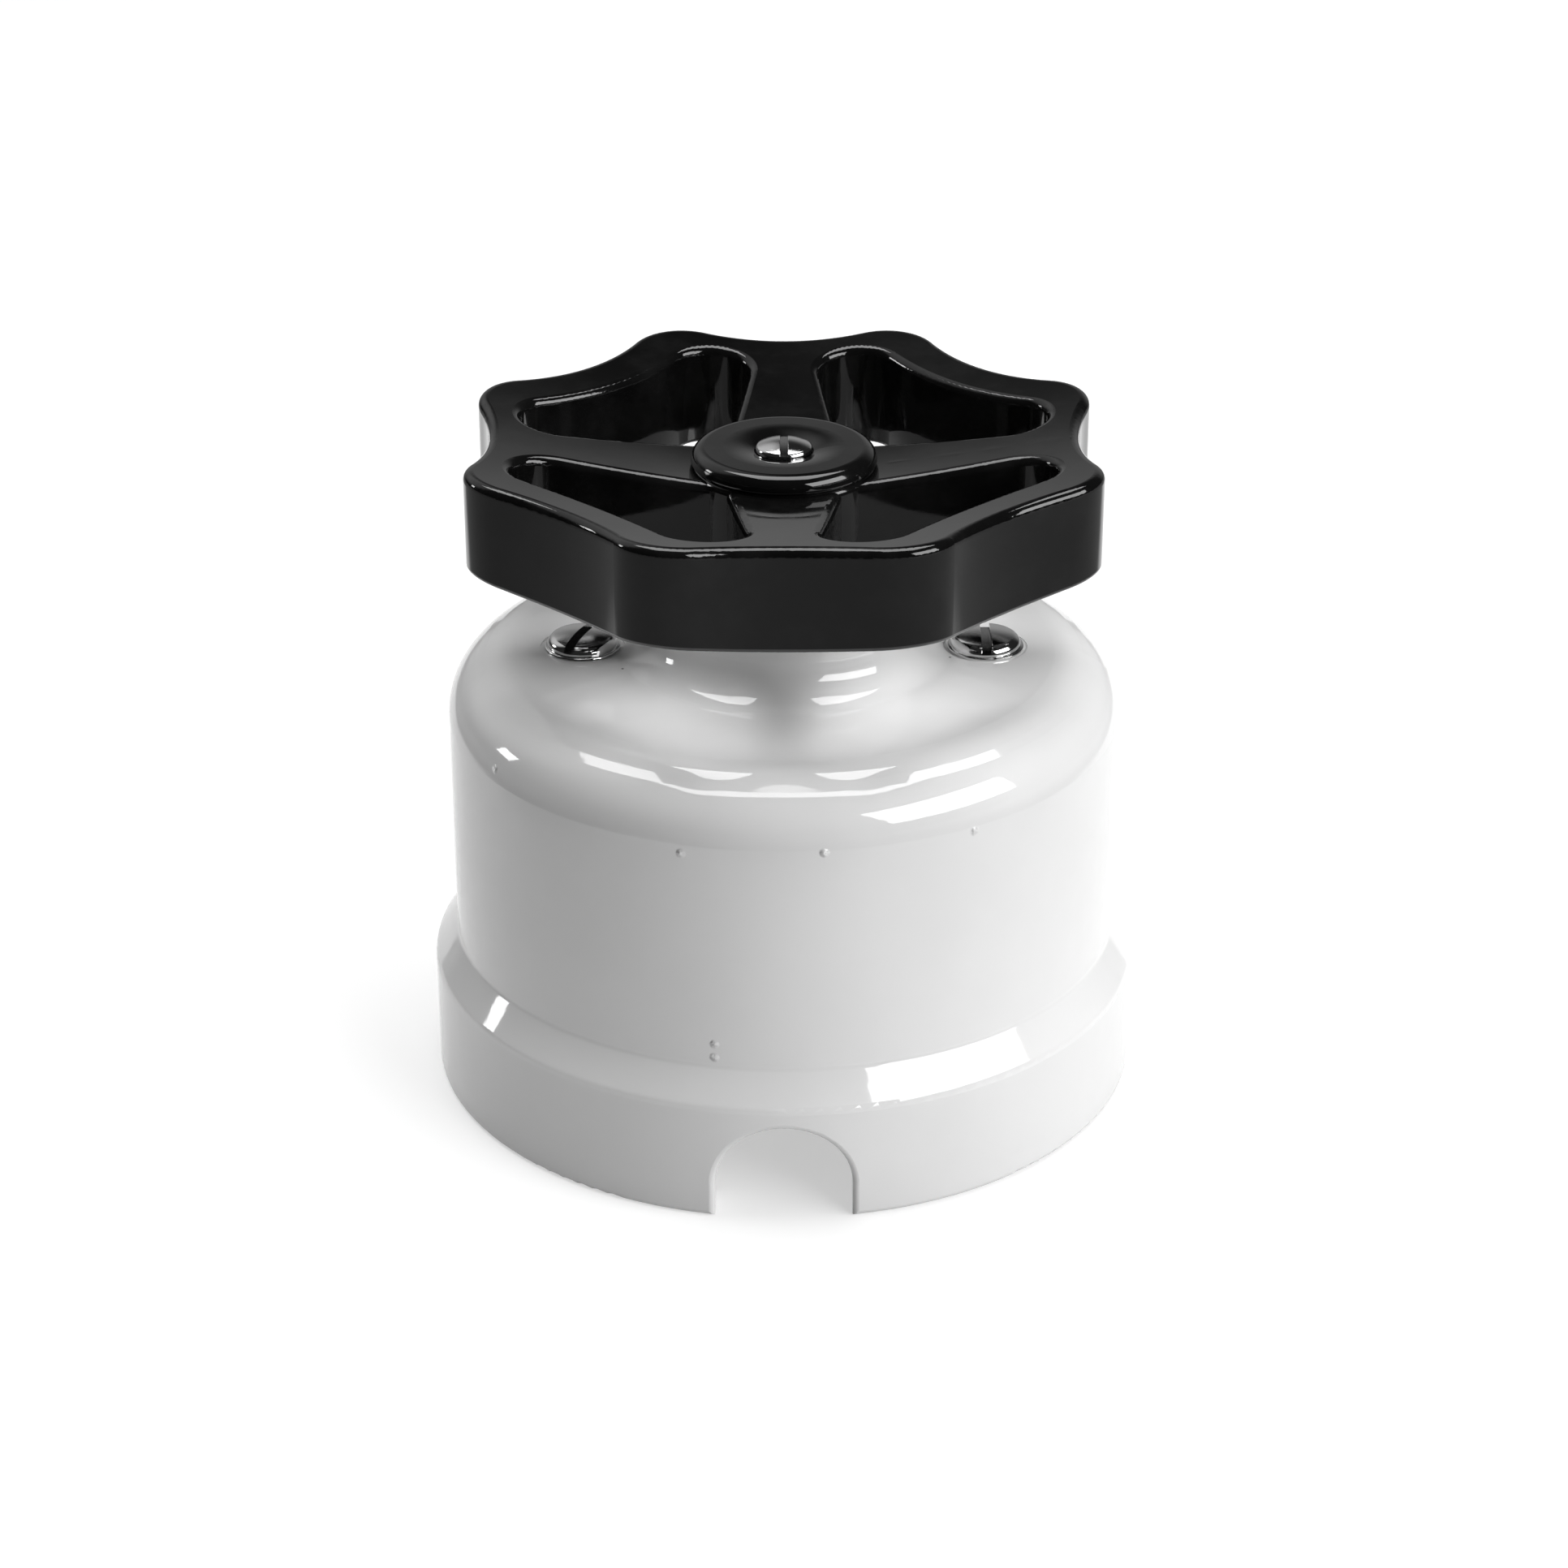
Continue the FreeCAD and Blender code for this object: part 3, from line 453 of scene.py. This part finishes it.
def screw_profile(shank_length, shank_radius, head_radius, head_height, lip_width, crown_radius,
                  shoulder_radius):
    """Profile of a screw in millimetres, with the head's seat at height 0 and the axis at 0."""
    tip = [(0.0, -shank_length), (shank_radius * (1 - TIP_CHAMFER_SHARE), -shank_length)]
    shank = [(shank_radius, shank_radius * TIP_CHAMFER_SHARE - shank_length), (shank_radius, 0.0)]
    lip_height = lip_width + LIP_CHAMFER_MM
    wall = head_radius - lip_width
    lip = [(head_radius, 0.0), (head_radius, lip_height - LIP_CHAMFER_MM),
           (head_radius - LIP_CHAMFER_MM, lip_height), (wall, lip_height)]
    inset = wall - shoulder_radius
    reach = crown_radius - shoulder_radius
    shoulder_height = head_height - crown_radius + math.sqrt(reach ** 2 - inset ** 2)
    crown_start = 90.0 - math.degrees(math.asin(inset / reach))
    shoulder = arc(inset, shoulder_height, shoulder_radius, 0.0, crown_start)
    crown = arc(0.0, head_height - crown_radius, crown_radius, crown_start, 90.0)[1:-1]
    return tip + shank + lip + shoulder + crown + [(0.0, head_height)]


print("points of a screw's profile:", len(screw_profile(10.0, **COVER_SCREW)))

# %% [markdown]
# The second step turns the profile around the screw's axis, point by point. A Screw modifier would do the
# same, but a mesh made in code has its vertices in a known order and needs nothing applied. The saw's cut
# is a plain block, as wide as the slot and longer than the head, turned to the slot's angle.

# %% Turned body and saw cut
MM = 1 / MM_PER_METRE
TURN_STEPS = 144


def new_mesh(name, points, faces):
    mesh = bpy.data.meshes.new(name)
    mesh.from_pydata(points, [], faces)
    return mesh


def turned_mesh(name, profile, centre):
    """Turns a profile in millimetres around the vertical axis through centre, in metres."""
    points = [(centre[0], centre[1], centre[2] + profile[0][1] * MM)]
    for step in range(TURN_STEPS):
        angle = 2 * math.pi * step / TURN_STEPS
        points += [(centre[0] + across * MM * math.cos(angle), centre[1] + across * MM * math.sin(angle),
                    centre[2] + up * MM) for across, up in profile[1:-1]]
    points.append((centre[0], centre[1], centre[2] + profile[-1][1] * MM))
    rows = len(profile) - 2
    faces = []
    for step in range(TURN_STEPS):
        here = 1 + step * rows
        after = 1 + (step + 1) % TURN_STEPS * rows
        faces.append((0, after, here))
        faces += [(here + row, after + row, after + row + 1, here + row + 1) for row in range(rows - 1)]
        faces.append((here + rows - 1, after + rows - 1, len(points) - 1))
    return new_mesh(name, points, faces)


def slot_directions(slot_angle):
    """Unit vectors along and across a slot that is turned by slot_angle degrees."""
    turn = math.radians(slot_angle)
    return Vector((math.cos(turn), math.sin(turn), 0.0)), Vector((-math.sin(turn), math.cos(turn), 0.0))


def saw_cut_mesh(centre, width, reach, bottom, top, slot_angle):
    """The block of metal that the saw takes away."""
    along, aside = slot_directions(slot_angle)
    along, aside = along * reach, aside * width / 2
    foot = Vector((centre[0], centre[1], 0.0))
    corners = [foot - along - aside, foot + along - aside, foot + along + aside, foot - along + aside]
    points = [(corner.x, corner.y, height) for height in (bottom, top) for corner in corners]
    faces = [(3, 2, 1, 0), (4, 5, 6, 7), (0, 1, 5, 4), (1, 2, 6, 5), (2, 3, 7, 6), (3, 0, 4, 7)]
    return new_mesh("saw_cut", points, faces)


print("turned in", TURN_STEPS, "steps")

# %% [markdown]
# The third step cuts the slot. A Boolean takes the block away and a Bevel breaks the edges that the saw
# left, because a real edge is never sharp and its thin glint is what shows the slot. Both leave some points
# almost on top of each other, and merging them keeps the mesh free of flat triangles.

# %% Cut the slot and break its edges
EDGE_BREAK = 0.04 * MM
EDGE_BREAK_STEPS = 2
EDGE_BREAK_ANGLE = 40.0
MERGE_DISTANCE = 0.002 * MM


def add_object(name, mesh):
    made = bpy.data.objects.new(name, mesh)
    bpy.context.scene.collection.objects.link(made)
    return made


def saw(screw, cutter):
    """Takes the cutter away from the screw, breaks the edges and merges doubled points."""
    cut = screw.modifiers.new("slot", "BOOLEAN")
    cut.operation = "DIFFERENCE"
    cut.solver = "EXACT"
    cut.object = cutter
    edge = screw.modifiers.new("edges", "BEVEL")
    edge.width = EDGE_BREAK
    edge.segments = EDGE_BREAK_STEPS
    edge.limit_method = "ANGLE"
    edge.angle_limit = math.radians(EDGE_BREAK_ANGLE)
    sawn = bpy.data.meshes.new_from_object(screw.evaluated_get(bpy.context.evaluated_depsgraph_get()))
    screw.modifiers.clear()
    screw.data = sawn
    bpy.data.objects.remove(cutter)
    merged = bmesh.new()
    merged.from_mesh(sawn)
    bmesh.ops.remove_doubles(merged, verts=merged.verts, dist=MERGE_DISTANCE)
    merged.to_mesh(sawn)
    merged.free()


print("edges broken by", round(EDGE_BREAK / MM, 3), "mm")

# %% [markdown]
# Each screw now takes the place of its plain solid: the same axis, seat and tip, read from the solid's box,
# and the same body to ride on. The faces inside the slot get the dark slot metal, which is painted shade in
# the recess as well as duller metal, and all others the plating, and only edges steeper than an angle are
# shaded sharp, so that the crown mirrors as one smooth curve.

# %% Place the turned screws
SHARP_ANGLE = 50.0
CUTTER_REACH = 1.2              # half the length of the saw cut, as a share of the head's radius
SLOT_MARGIN = 0.2 * EDGE_BREAK
COVER_HEAD = {"solid_head_mm": 1.8, "slot_width_mm": 0.9, "slot_depth_mm": 0.95}
CENTRE_HEAD = {"solid_head_mm": 1.75, "slot_width_mm": 0.7, "slot_depth_mm": 0.7}


def paint_screw(mesh, centre, slot_width, slot_bottom, slot_angle):
    """Plating everywhere, and on the faces inside the slot a darker metal that is partly painted shade."""
    mesh.materials.clear()
    mesh.materials.append(FINISHES["bright_plating"])
    mesh.materials.append(FINISHES["slot_shade_and_bare_metal"])
    aside = slot_directions(slot_angle)[1]
    for face in mesh.polygons:
        beside = abs(aside.dot(face.center - Vector(centre)))
        in_slot = beside < slot_width / 2 + SLOT_MARGIN and face.center.z > slot_bottom - EDGE_BREAK
        face.material_index = 1 if in_slot else 0
    mesh.shade_smooth()
    mesh.set_sharp_from_angle(angle=math.radians(SHARP_ANGLE))


def make_screw(node, body, sizes, slot_angle, solid_head_mm, slot_width_mm, slot_depth_mm):
    """Turns a screw in place of its plain solid, whose head is solid_head_mm high."""
    low, high = [Vector(corner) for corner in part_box(node)]
    seat = high.z - solid_head_mm * MM
    centre = ((low.x + high.x) / 2, (low.y + high.y) / 2, seat)
    profile = screw_profile(shank_length=(seat - low.z) / MM, **sizes)
    screw = add_object(node + "_turned", turned_mesh(node + "_turned", profile, centre))
    slot_width = slot_width_mm * MM
    slot_bottom = seat + (sizes["head_height"] - slot_depth_mm) * MM
    reach = sizes["head_radius"] * MM * CUTTER_REACH
    block = saw_cut_mesh(centre, slot_width, reach, slot_bottom, high.z + MM, slot_angle)
    saw(screw, add_object("saw_cut", block))
    paint_screw(screw.data, centre, slot_width, slot_bottom, slot_angle)
    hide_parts(node)
    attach(screw, body)
    print(node, "turned again,", len(screw.data.polygons), "faces")


make_screw("cover_screw_left", "housing", COVER_SCREW, slot_angle=69.0, **COVER_HEAD)
make_screw("cover_screw_right", "housing", COVER_SCREW, slot_angle=90.0, **COVER_HEAD)
make_screw("handwheel_screw", "rotor", CENTRE_SCREW, slot_angle=90.0, **CENTRE_HEAD)

# %% [markdown]
# The light that a floor gives off can depend on who looks. Light Path tells rays that come straight from
# the camera from rays that gloss mirrors or glass lets through, so the floor can be white in the picture
# and something else in a reflection.

# %% Rays of the camera and mirrored rays
def camera_rays(graph):
    return graph.node("ShaderNodeLightPath", output="Is Camera Ray")


def mirrored_rays(graph):
    glossy = graph.node("ShaderNodeLightPath", output="Is Glossy Ray")
    return graph.math("MAXIMUM", glossy, graph.node("ShaderNodeLightPath", output="Is Transmission Ray"))


print("rays are told apart: camera, mirrored")

# %% [markdown]
# A product photograph like this one is made on white paper under soft boxes. More light would make the
# paper white but would also burn out the glaze, so it glows for the camera instead. In reflections only one
# sheet of it glows, under and behind the switch and wider at the back, because glaze and resin mirror a
# bright sheet with dark room beside it.

# %% Paper of the floor
PAPER_HALF_WIDTH = 0.085
PAPER_SPREAD = 0.19
PAPER_FRONT = -0.085
PAPER_BACK = 0.45
PAPER_FADE = 0.03
PAPER_FIBRE_MM = 30.0
PAPER_GREYS = (0.50, 0.52)
PAPER_ROUGHNESS = 0.85
PAPER_SPECULAR = 0.2
SURROUND_GREY = 0.25
PAPER_GLOW = 0.52
SURROUND_GLOW = 0.80
FAR_GLOW = 0.20
FAR_START, FAR_END = 0.4, 1.2
MIRRORED_GLOW = 0.50


def paper_sheet(graph, place):
    """1 on the sheet, which widens to the back, and 0 beside it."""
    across = graph.node("ShaderNodeSeparateXYZ", inputs={0: place}, output="X")
    along = graph.node("ShaderNodeSeparateXYZ", inputs={0: place}, output="Y")
    beside = graph.math("ABSOLUTE", across) - along * PAPER_SPREAD
    sides = mask(graph, beside, PAPER_HALF_WIDTH, PAPER_HALF_WIDTH + PAPER_FADE, 1.0, 0.0)
    front = mask(graph, along, PAPER_FRONT - PAPER_FADE, PAPER_FRONT)
    back = mask(graph, along, PAPER_BACK, PAPER_BACK + PAPER_FADE, 1.0, 0.0)
    return sides * front * back


def build_floor(graph):
    place = object_place(graph)
    paper = paper_sheet(graph, place)
    fibre = noise(graph, place, PAPER_FIBRE_MM, detail=3.0)
    pale = blend(graph, fibre, grey(PAPER_GREYS[0]), grey(PAPER_GREYS[1]))
    paint = graph.node("ShaderNodeBsdfPrincipled", inputs={
        "Base Color": blend(graph, paper, grey(SURROUND_GREY), pale), "Roughness": PAPER_ROUGHNESS,
        "Specular IOR Level": PAPER_SPECULAR})
    reach = graph.node("ShaderNodeVectorMath", {"operation": "LENGTH"}, {0: place}, output="Value")
    far = mask(graph, reach, FAR_START, FAR_END)
    seen = paper * PAPER_GLOW + (1 - paper) * SURROUND_GLOW + far * FAR_GLOW
    brightness = camera_rays(graph) * seen + mirrored_rays(graph) * paper * MIRRORED_GLOW
    glow = graph.node("ShaderNodeEmission", inputs={"Color": brightness, "Strength": 1.0})
    return graph.node("ShaderNodeAddShader", inputs={0: paint, 1: glow})


floor_paper = finish("floor_paper", build_floor)

# %% [markdown]
# The floor itself is a wide matt disc that takes the soft shadow of the switch. A plane would do as well,
# but its corners could show in the glaze, and a disc has none.

# %% Floor
FLOOR_RADIUS = 3.0
FLOOR_RINGS = 12
FLOOR_SPOKES = 96
FLOOR_DROP = 0.00002            # keeps the floor just clear of the wall face


def floor_mesh():
    """A disc of rings that grow outwards, so that it is finest under the switch."""
    points = [(0.0, 0.0, 0.0)]
    faces = []
    for ring in range(1, FLOOR_RINGS + 1):
        radius = FLOOR_RADIUS * (ring / FLOOR_RINGS) ** 2
        for spoke in range(FLOOR_SPOKES):
            angle = 2 * math.pi * spoke / FLOOR_SPOKES
            points.append((radius * math.cos(angle), radius * math.sin(angle), 0.0))
    for spoke in range(FLOOR_SPOKES):
        after = (spoke + 1) % FLOOR_SPOKES
        faces.append((0, 1 + spoke, 1 + after))
        for ring in range(FLOOR_RINGS - 1):
            inner = 1 + ring * FLOOR_SPOKES
            outer = inner + FLOOR_SPOKES
            faces.append((inner + spoke, outer + spoke, outer + after, inner + after))
    return new_mesh("floor", points, faces)


floor = add_object("floor", floor_mesh())
floor.data.materials.append(floor_paper)
floor.location.z = -FLOOR_DROP
print("floor radius", FLOOR_RADIUS, "m")

# %% [markdown]
# The world is the room around the switch. It is nearly dark, with a dim wall low behind the switch and a
# lighter panel high at the back left, so that glaze, resin and metal find both something bright and
# something dark to mirror. An environment picture could do this, but masks on the direction of a ray are
# enough. The camera itself sees plain white, again by way of Light Path.

# %% World
ROOM_GREY = 0.02
WALL_GREY = 0.34
WALL_FULL_TO, WALL_GONE_AT = 0.20, 0.60
WALL_SIDE_FADE = (0.65, 0.95)
PANEL_GREY = 0.62
PANEL_DIRECTION = (-0.54, 0.54, 0.64)
PANEL_FADE = (0.80, 0.97)


def build_world():
    world = bpy.data.worlds.new("studio")
    bpy.context.scene.world = world
    world.use_nodes = True
    graph = Graph(world.node_tree)
    direction = graph.node("ShaderNodeTexCoord", output="Generated")
    away = graph.node("ShaderNodeSeparateXYZ", inputs={0: direction}, output="Y")
    height = graph.node("ShaderNodeSeparateXYZ", inputs={0: direction}, output="Z")
    wall = mask(graph, height, WALL_FULL_TO, WALL_GONE_AT, 1.0, 0.0) * mask(graph, away, *WALL_SIDE_FADE)
    toward_panel = graph.node("ShaderNodeVectorMath", {"operation": "DOT_PRODUCT"}, {
        0: direction, 1: PANEL_DIRECTION}, output="Value")
    room = blend(graph, wall, grey(ROOM_GREY), grey(WALL_GREY))
    room = blend(graph, mask(graph, toward_panel, *PANEL_FADE), room, grey(PANEL_GREY))
    back = graph.node("ShaderNodeBackground", inputs={
        "Color": blend(graph, camera_rays(graph), room, grey(1.0)), "Strength": 1.0})
    graph.node("ShaderNodeOutputWorld", inputs={"Surface": back})
    return world


print("world", build_world().name, "ready")

# %% [markdown]
# Three soft boxes make the picture. The large one hangs overhead and leans, so that the dome mirrors it as
# a band with slanted ends. The second stands at the right towards the camera and gives the white quads on
# dome and flange, and a small one at the left gives the short highlights there. Each stands at a place and
# faces a point. Its strength is given as a radiance, which is how bright it looks in a mirror, so that its
# size can be changed without changing that brightness.

# %% Soft boxes
def soft_box(name, place, aim, width, height, radiance):
    """A rectangular lamp at a place, facing a point; radiance is how bright it looks in a mirror."""
    light = bpy.data.lights.new(name, "AREA")
    light.shape = "RECTANGLE"
    light.size = width
    light.size_y = height
    light.energy = radiance * math.pi * width * height
    lamp = add_object(name, light)
    lamp.location = place
    lamp.rotation_euler = (Vector(place) - Vector(aim)).to_track_quat("Z", "Y").to_euler()
    print(name, "energy", round(light.energy, 2), "W")


SWITCH_MIDDLE = (0.0, 0.0, 0.04)
soft_box("lamp_overhead", place=(0.02, 0.12, 1.81), aim=(0.02, -0.72, 1.265), width=1.50, height=1.60,
         radiance=5.5)
soft_box("lamp_right", place=(0.881, -0.551, 0.60), aim=SWITCH_MIDDLE, width=1.02, height=0.60,
         radiance=7.4)
soft_box("lamp_left", place=(-1.103, 0.337, 0.371), aim=SWITCH_MIDDLE, width=0.18, height=0.20,
         radiance=10.0)

# %% [markdown]
# The camera stands in front and looks down by 26 degrees. Its place and focal length were worked out from
# the rims of dome, flange and wheel in the photograph, which are circles seen at a slant. The view
# transform is Standard, so that a grey in the picture is the grey that the light gives.

# %% Camera
CAMERA_PLACE = (0.0, -0.31192, 0.17836)
CAMERA_TILT = 64.0455
CAMERA_LENS = 86.555
CAMERA_SENSOR = 36.0
CAMERA_CLIP_START = 0.01


def make_camera():
    camera = bpy.data.cameras.new("camera")
    camera.lens = CAMERA_LENS
    camera.sensor_width = CAMERA_SENSOR
    camera.sensor_fit = "HORIZONTAL"
    camera.clip_start = CAMERA_CLIP_START
    stand = add_object("camera", camera)
    stand.location = CAMERA_PLACE
    stand.rotation_euler = (math.radians(CAMERA_TILT), 0.0, 0.0)
    bpy.context.scene.camera = stand
    return stand


camera = make_camera()
bpy.context.scene.view_settings.view_transform = "Standard"
print("camera at", tuple(camera.location))
